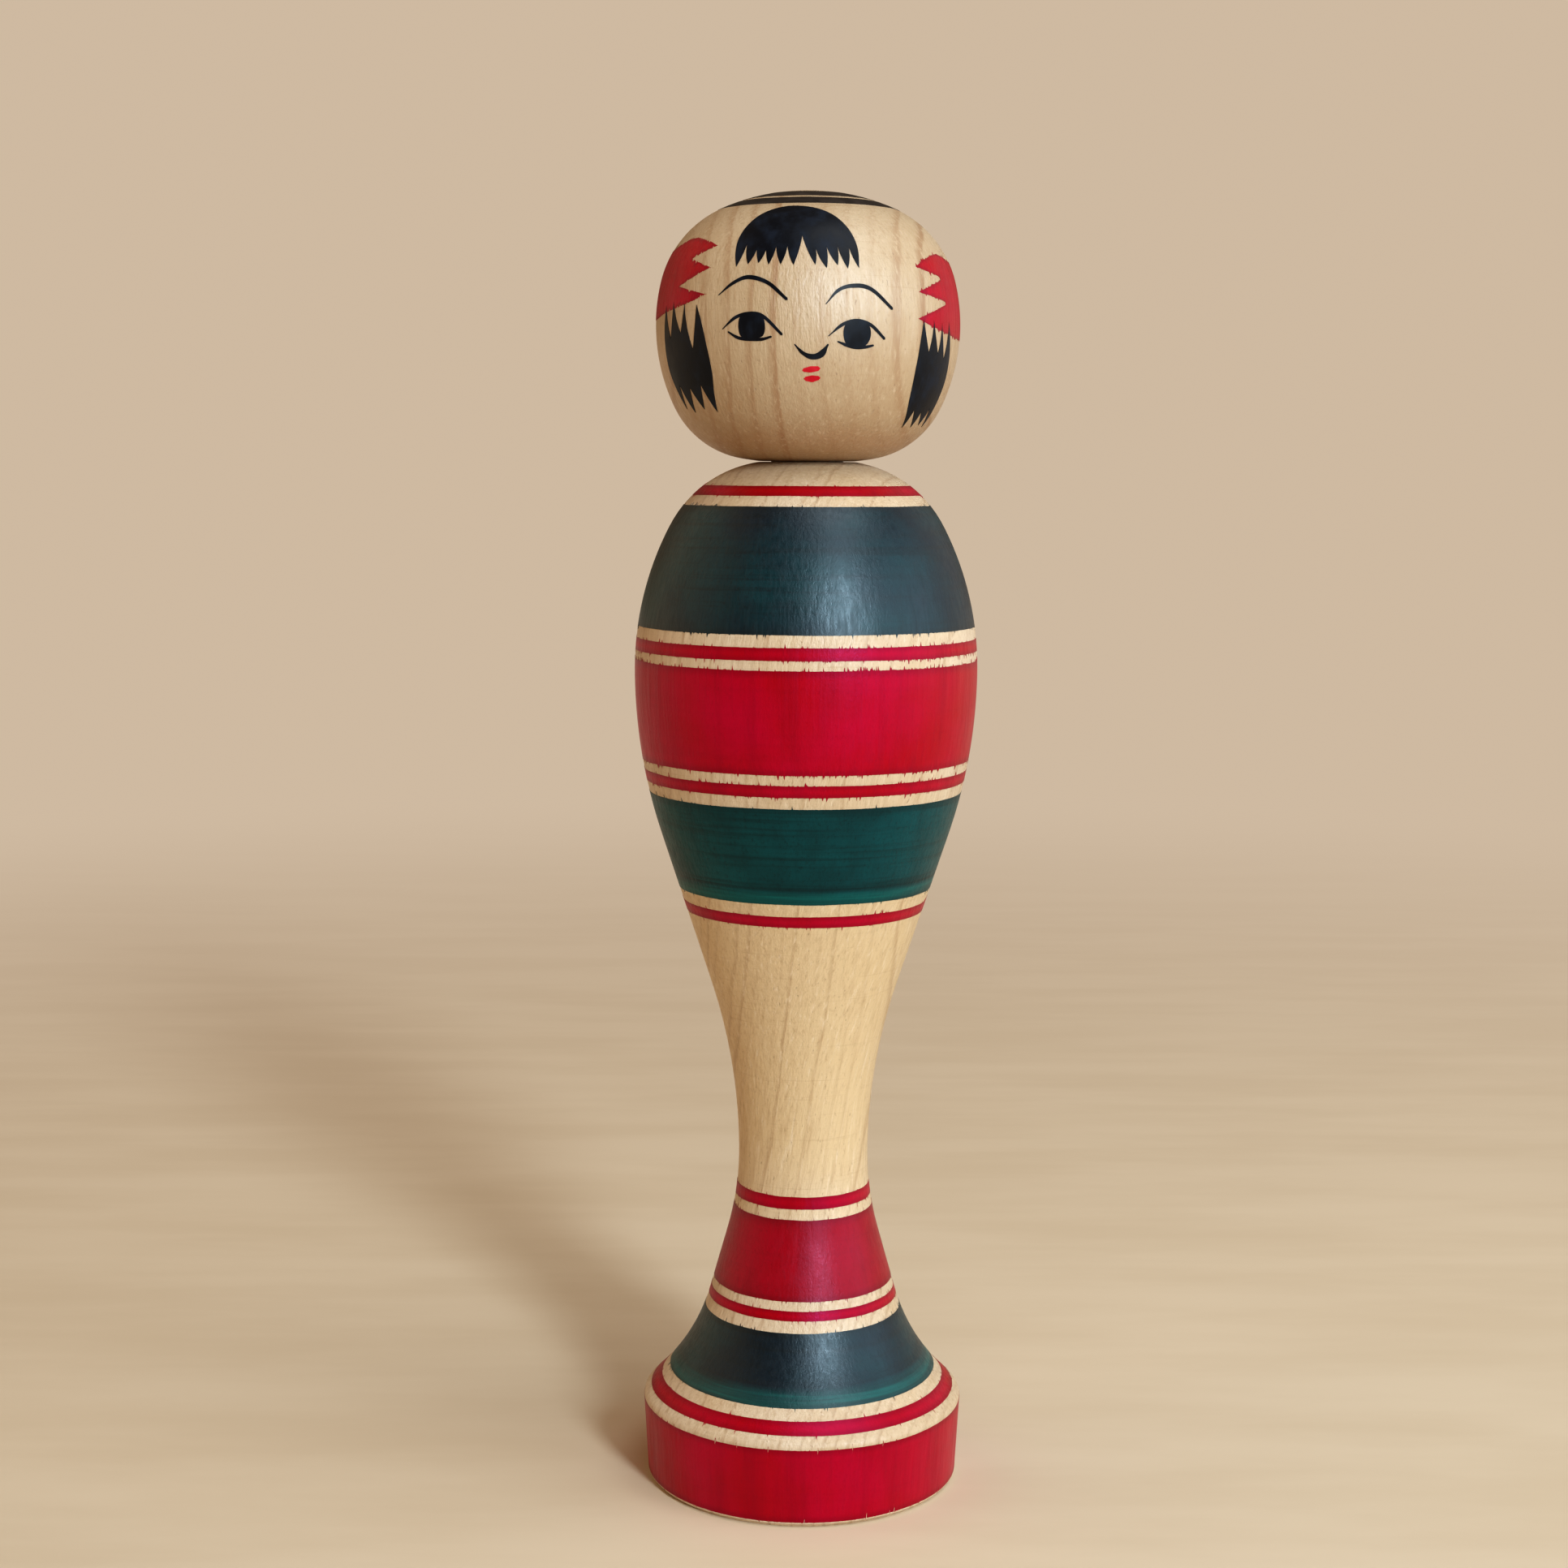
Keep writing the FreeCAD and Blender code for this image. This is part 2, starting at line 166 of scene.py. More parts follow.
class Turning:
    """A turned piece: its closed outline, and the climb up its outside that carries paint."""

    def __init__(self, node):
        corners = seam_points(node)
        lowest = min(point.y for point in corners)
        self.outline = refined(corners, WOOD_ROW)
        for point in self.outline:
            point.y = max(point.y, lowest)
        self.outside = self.longest_climb()
        self.lengths = [0.0]
        for lower, upper in zip(self.outside, self.outside[1:]):
            self.lengths.append(self.lengths[-1] + (upper - lower).length)
        self.foot = self.outside[0].y

    def longest_climb(self):
        """The run of points that rises furthest without a level or falling step."""
        runs = [[self.outline[0]]]
        for point in self.outline[1:]:
            if point.y <= runs[-1][-1].y + 1e-6:
                runs.append([])
            runs[-1].append(point)
        return max(runs, key=lambda run: run[-1].y - run[0].y)

    def along(self, length):
        """The (radius, height) at a length along the outside, in mm."""
        length = min(max(length, 0.0), self.lengths[-1])
        low, high = 0, len(self.lengths) - 1
        while high - low > 1:
            middle = (low + high) // 2
            if self.lengths[middle] <= length:
                low = middle
            else:
                high = middle
        share = (length - self.lengths[low]) / (self.lengths[high] - self.lengths[low])
        return self.outside[low].lerp(self.outside[high], share)

    def length_at(self, height=None, radius=None):
        """The length at a height, or at a radius on the crown, in mm."""
        for index in range(len(self.outside) - 1):
            lower, upper = self.outside[index], self.outside[index + 1]
            if height is not None and lower.y <= height <= upper.y:
                share = (height - lower.y) / (upper.y - lower.y)
            elif radius is not None and height is None and lower.x >= radius >= upper.x:
                if lower.y < self.foot + (self.outside[-1].y - self.foot) / 2:
                    continue
                share = (lower.x - radius) / (lower.x - upper.x)
            else:
                continue
            return self.lengths[index] + share * (self.lengths[index + 1] - self.lengths[index])
        raise ValueError(f"nothing of the outside is at {height or radius} mm")

    def spot(self, azimuth, length, lift):
        """A point in metres, lifted from the wood: azimuth in radians, lengths in mm."""
        reach = 0.4
        here = self.along(length)
        way = (self.along(length + reach) - self.along(length - reach)).normalized()
        radius = (here.x + lift * way.y) * MM
        height = (here.y - lift * way.x) * MM
        return (radius * math.sin(azimuth), -radius * math.cos(azimuth), height)


# ============================================================ meshes

def add_piece(name, points, faces, places, material, body):
    """A mesh object with its bake map, riding on a CAD body. places: one (u, v) per corner."""
    mesh = bpy.data.meshes.new(name)
    mesh.from_pydata(points, [], faces)
    layer = mesh.uv_layers.new(name="OFBake")
    for corner, place in zip(layer.data, places):
        corner.uv = place
    mesh.materials.append(material)
    mesh.shade_smooth()
    mesh.set_sharp_from_angle(angle=SHARP_ANGLE)
    mesh.validate()
    piece = bpy.data.objects.new(name, mesh)
    bpy.context.scene.collection.objects.link(piece)
    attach(piece, body)
    return piece


def turned(name, turning, material, body):
    """The wooden piece itself: the whole outline turned round the axis."""
    points = []
    rings = []
    for place in turning.outline:
        if place.x < ON_AXIS:
            rings.append([len(points)])
            points.append((0.0, 0.0, place.y * MM))
            continue
        rings.append(list(range(len(points), len(points) + WOOD_COLUMNS)))
        for column in range(WOOD_COLUMNS):
            angle = 2 * math.pi * column / WOOD_COLUMNS
            radius = place.x * MM
            points.append((radius * math.sin(angle), radius * math.cos(angle), place.y * MM))
    lengths = [0.0]
    for first, second in zip(turning.outline, turning.outline[1:]):
        lengths.append(lengths[-1] + (second - first).length)
    faces = []
    places = []
    for row, (lower, upper) in enumerate(zip(rings, rings[1:])):
        v_low, v_high = lengths[row] / lengths[-1], lengths[row + 1] / lengths[-1]
        for column in range(WOOD_COLUMNS):
            after = (column + 1) % WOOD_COLUMNS
            u_low, u_high = column / WOOD_COLUMNS, (column + 1) / WOOD_COLUMNS
            if len(lower) == 1:
                faces.append((lower[0], upper[column], upper[after]))
                places += [(u_low, v_low), (u_low, v_high), (u_high, v_high)]
            elif len(upper) == 1:
                faces.append((lower[column], upper[0], lower[after]))
                places += [(u_low, v_low), (u_low, v_high), (u_high, v_low)]
            else:
                faces.append((lower[column], upper[column], upper[after], lower[after]))
                places += [(u_low, v_low), (u_low, v_high), (u_high, v_high), (u_high, v_low)]
    return add_piece(name, points, faces, places, material, body)


def ragged(rng, hairs):
    """How far a dyed edge strays outwards at each column: slow waves, grit and bled hairs.

    Half of the hairs gather in a few places, where the wood drank more.
    """
    waves = [(rng.randint(3, 14), rng.uniform(0, math.tau)) for _ in range(4)]
    strays = []
    for column in range(FILM_COLUMNS):
        angle = math.tau * column / FILM_COLUMNS
        wave = sum(math.sin(turns * angle + phase) for turns, phase in waves)
        strays.append(EDGE_WANDER * wave / len(waves) + rng.gauss(0, EDGE_WANDER * 0.35))
    gathers = [rng.randrange(FILM_COLUMNS) for _ in range(7)]
    for hair in range(hairs):
        if hair % 2:
            column = round(rng.gauss(rng.choice(gathers), FILM_COLUMNS * 0.02)) % FILM_COLUMNS
        else:
            column = rng.randrange(FILM_COLUMNS)
        height = HAIR_REACH * (0.1 + 0.9 * rng.random() ** 3)
        strays[column] += height
        if rng.random() < 0.4:
            strays[(column + 1) % FILM_COLUMNS] += height * rng.uniform(0.2, 0.9)
    return [min(stray, HAIR_REACH) for stray in strays]


def band(name, turning, low, high, material, body, rng, hairs=(0, 0), thin=0.0):
    """A closed film right round a piece, between two lengths along its outside, in mm.

    hairs are the bled fibres at its lower and upper edge, and thin is how weak the dye gets
    along the lower edge.
    """
    rows = max(2, math.ceil((high - low) / FILM_ROW)) + 1
    below = ragged(rng, hairs[0])
    above = ragged(rng, hairs[1])
    points = []
    for lift in (DYE_LIFT, -FILM_ROOT):
        for column in range(FILM_COLUMNS):
            angle = math.tau * column / FILM_COLUMNS
            start = low - below[column]
            stop = high + above[column]
            for row in range(rows):
                points.append(turning.spot(angle, start + (stop - start) * row / (rows - 1), lift))
    under = FILM_COLUMNS * rows
    top_share, root_low, root_high = 0.9, 0.92, 0.99
    faces = []
    places = []
    for column in range(FILM_COLUMNS):
        here = column * rows
        after = (column + 1) % FILM_COLUMNS * rows
        left, right = column / FILM_COLUMNS, (column + 1) / FILM_COLUMNS
        for row in range(rows - 1):
            low_v, high_v = top_share * row / (rows - 1), top_share * (row + 1) / (rows - 1)
            faces.append((here + row, after + row, after + row + 1, here + row + 1))
            places += [(left, low_v), (right, low_v), (right, high_v), (left, high_v)]
            faces.append(
                (under + here + row, under + here + row + 1, under + after + row + 1, under + after + row)
            )
            places += [(left, root_low), (left, root_high), (right, root_high), (right, root_low)]
        last = rows - 1
        faces.append((here, under + here, under + after, after))
        places += [(left, 0.0), (left, 0.0), (right, 0.0), (right, 0.0)]
        faces.append((here + last, after + last, under + after + last, under + here + last))
        places += [(left, top_share), (right, top_share), (right, top_share), (left, top_share)]
    piece = add_piece(name, points, faces, places, material, body)
    weak = piece.data.attributes.new("thin", "FLOAT", "POINT")
    for index in range(len(points)):
        row = index % rows
        weak.data[index].value = thin * max(0.0, 1 - row * FILM_ROW / THIN_REACH)
    add_rim(piece, lambda index: index % rows in (0, rows - 1))
    return piece


def add_rim(piece, at_edge):
    """Tells the dye how near its edge it is: 0 at an edge, 1 at the next point inside."""
    rim = piece.data.attributes.new("rim", "FLOAT", "POINT")
    for index in range(len(piece.data.vertices)):
        rim.data[index].value = 0.0 if at_edge(index) else 1.0


# ---- drawing on the head, in a flat sheet wrapped on it: x round it, y up it, in mm

WRAP_RADIUS = 20.5


def on_sheet(azimuth, height):
    return Vector((math.radians(azimuth) * WRAP_RADIUS, height))


def curve(places, closed=False):
    """A smooth line through places on the sheet, in short steps."""
    points = [on_sheet(*place) for place in places]
    if closed:
        points = [points[-1]] + points + points[:2]
    else:
        points = [2 * points[0] - points[1]] + points + [2 * points[-1] - points[-2]]
    line = []
    for before, start, stop, after in zip(points, points[1:], points[2:], points[3:]):
        leave, arrive = (stop - before) / 2, (after - start) / 2
        parts = max(2, math.ceil((stop - start).length / OUTLINE_STEP))
        for part in range(parts):
            t = part / parts
            line.append(
                start * (1 + t * t * (2 * t - 3))
                + leave * (t * (1 - t) ** 2)
                + arrive * (t * t * (t - 1))
                + stop * (t * t * (3 - 2 * t))
            )
    if not closed:
        line.append(points[-2])
    return line


def stroke(places, widths):
    """The outline of one brush stroke: a line with a width, in mm, at each of its places."""
    line = curve(places)
    share = [index / (len(line) - 1) * (len(widths) - 1) for index in range(len(line))]
    left, right = [], []
    for index, point in enumerate(line):
        ahead = line[min(index + 1, len(line) - 1)]
        behind = line[max(index - 1, 0)]
        way = (ahead - behind).normalized()
        side = Vector((-way.y, way.x))
        knot = min(int(share[index]), len(widths) - 2)
        blend = share[index] - knot
        blend = blend * blend * (3 - 2 * blend)
        width = widths[knot] * (1 - blend) + widths[knot + 1] * blend
        left.append(point + side * width / 2)
        right.append(point - side * width / 2)
    # Both ends come to a blunt point, half as long as the stroke is wide there.
    tip = line[-1] + (line[-1] - line[-2]).normalized() * widths[-1] / 2
    start = line[0] - (line[1] - line[0]).normalized() * widths[0] / 2
    return left + [tip] + right[::-1] + [start]


def spikes(tips, dips, bow):
    """A row of brush points: from tip to dip to tip, each side bowed by a share of its length."""
    line = []
    for index, dip in enumerate(dips):
        for start, stop in ((tips[index], dip), (dip, tips[index + 1])):
            first, last = on_sheet(*start), on_sheet(*stop)
            across = last - first
            side = Vector((-across.y, across.x)) * bow[index]
            parts = max(2, math.ceil(across.length / OUTLINE_STEP))
            for part in range(parts):
                t = part / parts
                line.append(first.lerp(last, t) + side * (4 * t * (1 - t)))
    line.append(on_sheet(*tips[-1]))
    return line


def bled(outline, rng, grit, hairs, reach):
    """The outline with a dyed edge's small unevenness, mostly up and down the grain.

    grit is the usual stray in mm, hairs the share of points with a bled hair, reach its length.
    """
    uneven = []
    for index, point in enumerate(outline):
        behind, ahead = outline[index - 1], outline[(index + 1) % len(outline)]
        way = (ahead - behind).normalized()
        out = Vector((way.y, -way.x))
        stray = rng.gauss(0, grit)
        if rng.random() < hairs:
            stray += reach * rng.random()
        uneven.append(point + out * stray * 0.4 + Vector((0, abs(stray) * out.y)))
    return uneven


def inside(point, outline):
    """Whether a point of the sheet is within an outline."""
    within = False
    behind = outline[-1]
    for here in outline:
        if (here.y > point.y) != (behind.y > point.y):
            crossing = here.x + (behind.x - here.x) * (point.y - here.y) / (behind.y - here.y)
            if point.x < crossing:
                within = not within
        behind = here
    return within


def patch(name, turning, outlines, material, body, lift=INK_LIFT):
    """A closed film in the shape of one or more outlines on the sheet, wrapped on the wood."""
    flat = [point for outline in outlines for point in outline]
    loops = []
    start = 0
    for outline in outlines:
        loops.append(list(range(start, start + len(outline))))
        start += len(outline)
    low = Vector((min(p.x for p in flat), min(p.y for p in flat)))
    high = Vector((max(p.x for p in flat), max(p.y for p in flat)))
    seeds = []
    # Seeds fill the shape in columns, every other column half a step higher.
    for column in range(int((high.x - low.x) / PATCH_SPACING)):
        for row in range(int((high.y - low.y) / PATCH_SPACING)):
            shift = 0.75 if column % 2 else 0.25
            seed = low + Vector((column + 0.5, row + shift)) * PATCH_SPACING
            if not any(inside(seed, outline) for outline in outlines):
                continue
            if min((seed - point).length for point in flat) > PATCH_CLEAR:
                seeds.append(seed)
    sheet, _, triangles, *_ = delaunay_2d_cdt(flat + seeds, [], loops, 1, 1e-5)
    triangles = [tuple(t) for t in triangles]
    extent = high - low
    points = []
    for height_lift in (lift, -FILM_ROOT):
        for place in sheet:
            height = place.y + turning.foot
            points.append(
                turning.spot(place.x / WRAP_RADIUS, turning.length_at(height=height), height_lift)
            )
    under = len(sheet)
    used = {}
    for triangle in triangles:
        for first, second in zip(triangle, triangle[1:] + triangle[:1]):
            used[(first, second)] = True
    rims = [pair for pair in used if (pair[1], pair[0]) not in used]
    faces = []
    places = []
    top_share, root_low, root_share = 0.88, 0.9, 0.1

    def on_map(index, root=False):
        u = (sheet[index].x - low.x) / extent.x
        v = (sheet[index].y - low.y) / extent.y
        return (u, root_low + root_share * v) if root else (u, top_share * v)

    for triangle in triangles:
        faces.append(triangle)
        places += [on_map(index) for index in triangle]
        faces.append(tuple(under + index for index in reversed(triangle)))
        places += [on_map(index, root=True) for index in reversed(triangle)]
    for first, second in rims:
        faces.append((second, first, under + first, under + second))
        places += [on_map(second), on_map(first), on_map(first), on_map(second)]
    piece = add_piece(name, points, faces, places, material, body)
    edge = {index for pair in rims for index in pair}
    add_rim(piece, lambda index: index % under in edge)
    return piece


# ============================================================ materials

def srgb(red, green, blue):
    """A colour given as it looks on a screen, 0 to 255, in the renderer's linear values."""
    def linear(value):
        value /= 255
        return value / 12.92 if value <= 0.04045 else ((value + 0.055) / 1.055) ** 2.4
    return (linear(red), linear(green), linear(blue), 1.0)


# ---- colours that several materials or functions share
LATE_WOOD = srgb(150, 106, 66)
DARK_FIBRE = srgb(166, 126, 86)
DARK_CELL = srgb(160, 122, 84)
TURNING_MARK = srgb(164, 124, 84)
PORE = srgb(122, 84, 52)
THIN_GREEN = srgb(8, 92, 86)
STOP_RING = srgb(2, 8, 12)
BACKDROP = srgb(194, 176, 155)
# The stretch coloured apart, by handling on the body and by painted shade on the head, fades in over this
# height at its low end, and out at its high end, mm.
HANDLED_AND_SHADE_FADE = 22.0
# A dye with no weak edge: the attribute "thin" never gets this high.
NO_STRIP = (2.0, 3.0)


class Look:
    """A material under construction: its node tree, its shader and short ways to add nodes."""

    def __init__(self, name):
        self.material = bpy.data.materials.new(name)
        self.material.use_nodes = True
        self.tree = self.material.node_tree
        self.shader = self.tree.nodes["Principled BSDF"]
        self.place = self.tree.nodes.new("ShaderNodeTexCoord").outputs["Object"]

    def feed(self, socket, value):
        if isinstance(value, bpy.types.NodeSocket):
            self.tree.links.new(value, socket)
        else:
            socket.default_value = value

    def stretched(self, x, y, z, lean=0.0, middle=(0, 0)):
        """The object's place, as a number of cells per mm along axes that lean sideways.

        lean is in degrees, and middle is where the counting starts, in mm.
        """
        node = self.tree.nodes.new("ShaderNodeMapping")
        node.vector_type = "TEXTURE"
        self.feed(node.inputs["Vector"], self.place)
        node.inputs["Location"].default_value = (middle[0] * MM, middle[1] * MM, 0)
        node.inputs["Rotation"].default_value = Euler((0, math.radians(lean), 0))
        node.inputs["Scale"].default_value = (MM / x, MM / y, MM / z)
        return node.outputs["Vector"]

    def cloud(self, place, detail=3.0, roughness=0.55):
        node = self.tree.nodes.new("ShaderNodeTexNoise")
        self.feed(node.inputs["Vector"], place)
        node.inputs["Scale"].default_value = 1.0
        node.inputs["Detail"].default_value = detail
        node.inputs["Roughness"].default_value = roughness
        return node.outputs["Fac"]

    def span(self, value, low, high, to_low=0.0, to_high=1.0):
        """A value's stretch from low to high, spread over another stretch and held there."""
        node = self.tree.nodes.new("ShaderNodeMapRange")
        node.interpolation_type = "SMOOTHSTEP"
        for socket, amount in zip(node.inputs[:5], (value, low, high, to_low, to_high)):
            self.feed(socket, amount)
        return node.outputs["Result"]

    def combine(self, operation, *values):
        """The result of one Math operation, such as ADD, on one or two values."""
        node = self.tree.nodes.new("ShaderNodeMath")
        node.operation = operation
        for socket, amount in zip(node.inputs, values):
            self.feed(socket, amount)
        return node.outputs["Value"]

    def blend(self, share, first, second):
        node = self.tree.nodes.new("ShaderNodeMix")
        node.data_type = "RGBA"
        self.feed(node.inputs["Factor"], share)
        self.feed(node.inputs[6], first)
        self.feed(node.inputs[7], second)
        return node.outputs[2]

    def bump(self, height, distance):
        node = self.tree.nodes.new("ShaderNodeBump")
        node.inputs["Strength"].default_value = 1.0
        node.inputs["Distance"].default_value = distance * MM
        self.feed(node.inputs["Height"], height)
        return node.outputs["Normal"]

    def attribute(self, name):
        node = self.tree.nodes.new("ShaderNodeAttribute")
        node.attribute_name = name
        return node.outputs["Fac"]

    def finish(self, colour, roughness, normal):
        self.feed(self.shader.inputs["Base Color"], colour)
        self.feed(self.shader.inputs["Roughness"], roughness)
        self.feed(self.shader.inputs["Normal"], normal)
        return self.material


def fibres(look, lean=0.0):
    """Fine lines up and down the piece, as the wood's fibres run."""
    return look.cloud(look.stretched(1.9, 1.9, 0.09, lean), detail=5, roughness=0.62)


def rings(look, pith, ring_width, lean):
    """How far through its year the wood is, 0 to 1, and how clearly that year's line shows."""
    waver = look.cloud(look.stretched(0.030, 0.030, 0.014), detail=2)
    ripple = look.cloud(look.stretched(0.35, 0.35, 0.06, lean), detail=3)
    parts = look.tree.nodes.new("ShaderNodeSeparateXYZ")
    look.feed(parts.inputs[0], look.stretched(1, 1, 1, lean, pith))
    squares = look.combine(
        "ADD",
        look.combine("MULTIPLY", parts.outputs["X"], parts.outputs["X"]),
        look.combine("MULTIPLY", parts.outputs["Y"], parts.outputs["Y"]),
    )
    distance = look.combine("SQRT", squares)
    distance = look.combine("ADD", distance, look.combine("MULTIPLY", waver, 6.0))
    distance = look.combine("ADD", distance, look.combine("MULTIPLY", ripple, 1.0))
    years = look.combine("DIVIDE", distance, ring_width)
    count = look.tree.nodes.new("ShaderNodeTexWhiteNoise")
    count.noise_dimensions = "1D"
    look.feed(count.inputs["W"], look.combine("FLOOR", years))
    return look.combine("FRACT", years), count.outputs["Value"]


def wood(
    name, light, pale, deep, handled_and_shaded, handled_and_shade_colour, pith, ring_width, lean, line_depth, gloss
):
    """Pale close-grained wood: solid growth rings round a pith beside the piece, and fibres.

    light is the palest fibres' colour. handled_and_shaded is the lowest and highest height, in mm
    above the floor, of a stretch coloured apart, and handled_and_shade_colour is its colour: on the
    body, wood that age and hands have yellowed; on the head, painted shade, darker towards the chin.
    """
    look = Look(name)
    fibre = fibres(look, lean)
    year, clearness = rings(look, pith, ring_width, lean)
    late = look.span(year, 0.50, 0.86)
    late = look.combine("MULTIPLY", late, look.span(year, 0.88, 1.0, 1.0, 0.0))
    late = look.combine("MULTIPLY", late, look.span(clearness, 0.0, 1.0, 0.15 * line_depth, line_depth))
    late = look.combine("MULTIPLY", late, look.span(fibre, 0.30, 0.55, 0.35, 1.0))

    # Pores and scars are short and dark; turning marks run round the piece.
    pores = look.cloud(look.stretched(3.2, 3.2, 1.0, lean), detail=3, roughness=0.5)
    fleck = look.span(pores, 0.64, 0.76)
    drift = look.cloud(look.stretched(0.06, 0.06, 0.035), detail=4)
    cell = look.cloud(look.stretched(2.4, 2.4, 1.1, lean), detail=4, roughness=0.75)
    glint = look.cloud(look.stretched(3.2, 3.2, 0.9, lean), detail=3, roughness=0.65)
    turning_mark = look.cloud(look.stretched(0.06, 0.06, 3.4), detail=4, roughness=0.7)
    colour = look.blend(look.span(drift, 0.3, 0.7), pale, deep)
    height = look.tree.nodes.new("ShaderNodeSeparateXYZ")
    look.feed(height.inputs[0], look.stretched(1, 1, 1))
    # On the body this stretch yellows the wood as hands and age did; on the head it is painted shade,
    # darker towards the chin.
    low, high = handled_and_shaded
    handled_and_shade_share = look.combine(
        "MULTIPLY",
        look.span(height.outputs["Z"], low, low + HANDLED_AND_SHADE_FADE),
        look.span(height.outputs["Z"], high - HANDLED_AND_SHADE_FADE, high, 0.75, 0.0),
    )
    colour = look.blend(handled_and_shade_share, colour, handled_and_shade_colour)
    colour = look.blend(late, colour, LATE_WOOD)
    colour = look.blend(look.span(fibre, 0.50, 0.75, 0.0, 0.40), colour, DARK_FIBRE)
    colour = look.blend(look.span(fibre, 0.46, 0.25, 0.0, 0.50), colour, light)
    colour = look.blend(look.span(cell, 0.52, 0.74, 0.0, 0.40), colour, DARK_CELL)
    colour = look.blend(look.span(turning_mark, 0.56, 0.74, 0.0, 0.30), colour, TURNING_MARK)
    colour = look.blend(look.combine("MULTIPLY", fleck, 0.38), colour, PORE)
    roughness = look.span(fibre, 0.3, 0.7, 0.34, 0.52)
    relief = look.combine("ADD", fibre, look.combine("MULTIPLY", fleck, -0.4))
    relief = look.combine("ADD", relief, look.combine("MULTIPLY", glint, 1.3))
    relief = look.combine("ADD", relief, look.combine("MULTIPLY", turning_mark, 0.15))
    normal = look.bump(relief, 0.08)
    look.shader.inputs["Specular IOR Level"].default_value = gloss
    return look.finish(colour, roughness, normal)


def dye(name, deep, plain, bright, sweeps, upright, speckle, strip, ring, gloss, gloss_tint):
    """Water dye and wax on the spinning wood: streaks round it, the grain showing through.

    Where "thin" marks a lower edge, strip gives the values between which the weak dye comes
    up, and ring is how dark the ring is where the brush stopped above it.
    """
    look = Look(name)
    fibre = fibres(look)
    broad = look.cloud(look.stretched(0.30, 0.30, 0.02), detail=4, roughness=0.6)
    sweep = look.cloud(look.stretched(0.03, 0.03, 1.3), detail=5, roughness=0.65)
    drift = look.cloud(look.stretched(0.05, 0.05, 0.06), detail=4)
    speck = look.cloud(look.stretched(2.6, 2.6, 2.0), detail=4, roughness=0.7)
    colour = look.blend(look.span(drift, 0.35, 0.65), plain, bright)
    colour = look.blend(look.span(sweep, 0.46, 0.70, 0.0, sweeps), colour, deep)
    colour = look.blend(look.span(broad, 0.45, 0.70, 0.0, upright), colour, deep)
    colour = look.blend(look.span(fibre, 0.50, 0.75, 0.0, upright * 0.5), colour, deep)
    colour = look.blend(look.span(speck, 0.50, 0.72, 0.0, speckle), colour, deep)
    thin = look.attribute("thin")
    patchy = look.span(sweep, 0.35, 0.60, 1.0, 0.35)
    weak = look.combine("MULTIPLY", look.span(thin, *strip), patchy)
    colour = look.blend(weak, colour, THIN_GREEN)
    stop = look.combine("MULTIPLY", look.span(thin, 0.46, 0.54), look.span(thin, 0.56, 0.62, ring, 0.0))
    colour = look.blend(look.combine("MULTIPLY", stop, patchy), colour, STOP_RING)
    colour = look.blend(look.span(look.attribute("rim"), 0.0, 1.0, 0.5, 0.0), colour, deep)
    roughness = look.span(fibre, 0.3, 0.7, 0.33, 0.47)
    normal = look.bump(look.combine("ADD", fibre, look.combine("MULTIPLY", speck, 0.8)), 0.04)
    look.shader.inputs["Specular IOR Level"].default_value = gloss
    look.shader.inputs["Specular Tint"].default_value = gloss_tint
    return look.finish(colour, roughness, normal)


def ink(name, deep, thin):
    """Brushed ink: nearly black, thinner where the brush ran dry along the fibres."""
    look = Look(name)
    fibre = fibres(look)
    wash = look.cloud(look.stretched(0.5, 0.5, 0.35), detail=4)
    colour = look.blend(look.span(wash, 0.40, 0.75), deep, thin)
    colour = look.blend(look.span(fibre, 0.55, 0.8, 0.0, 0.4), colour, thin)
    roughness = look.span(wash, 0.3, 0.7, 0.38, 0.50)
    normal = look.bump(fibre, 0.015)
    look.shader.inputs["Specular IOR Level"].default_value = 0.2
    return look.finish(colour, roughness, normal)


# ============================================================ the doll

body = Turning("body")
head = Turning("head")

BODY_WOOD = wood(
    "body_wood_grain", srgb(234, 214, 186), srgb(214, 191, 162), srgb(202, 174, 138),
    handled_and_shaded=(30, 100), handled_and_shade_colour=srgb(214, 184, 138), pith=(-110, 15), ring_width=1.6, lean=10,
    line_depth=0.38, gloss=0.7,
)
# The head's darker colour low down is painted shade under the chin and jaw.
HEAD_WOOD = wood(
    "head_wood_grain", srgb(206, 180, 150), srgb(197, 172, 139), srgb(183, 154, 118),
    handled_and_shaded=(100, 163), handled_and_shade_colour=srgb(152, 114, 74), pith=(-110, 6), ring_width=3.1, lean=-2,
    line_depth=0.75, gloss=0.9,
)
RED = dye(
    "red_dye_wash", srgb(112, 0, 10), srgb(164, 0, 4), srgb(175, 0, 35), sweeps=0.08, upright=0.26,
    speckle=0.20, strip=NO_STRIP, ring=0.0, gloss=0.50, gloss_tint=(1.0, 0.20, 0.65, 1.0),
)
RED_TWICE = dye(
    "red_dye_twice", srgb(92, 0, 8), srgb(144, 0, 6), srgb(158, 0, 28), sweeps=0.12, upright=0.25,
    speckle=0.3, strip=NO_STRIP, ring=0.0, gloss=0.60, gloss_tint=(1.0, 0.40, 0.65, 1.0),
)
NAVY_GREEN = dye(
    "green_dye_twice", srgb(2, 7, 12), srgb(2, 20, 32), srgb(0, 47, 52), sweeps=0.55, upright=0.25,
    speckle=0.6, strip=(0.40, 0.85), ring=0.0, gloss=0.62, gloss_tint=(0.80, 0.95, 1.0, 1.0),
)
GREEN = dye(
    "green_dye_once", srgb(2, 20, 22), srgb(0, 44, 46), srgb(0, 66, 68), sweeps=0.55, upright=0.25,
    speckle=0.6, strip=(0.60, 0.78), ring=1.0, gloss=0.40, gloss_tint=(0.45, 0.90, 1.0, 1.0),
)
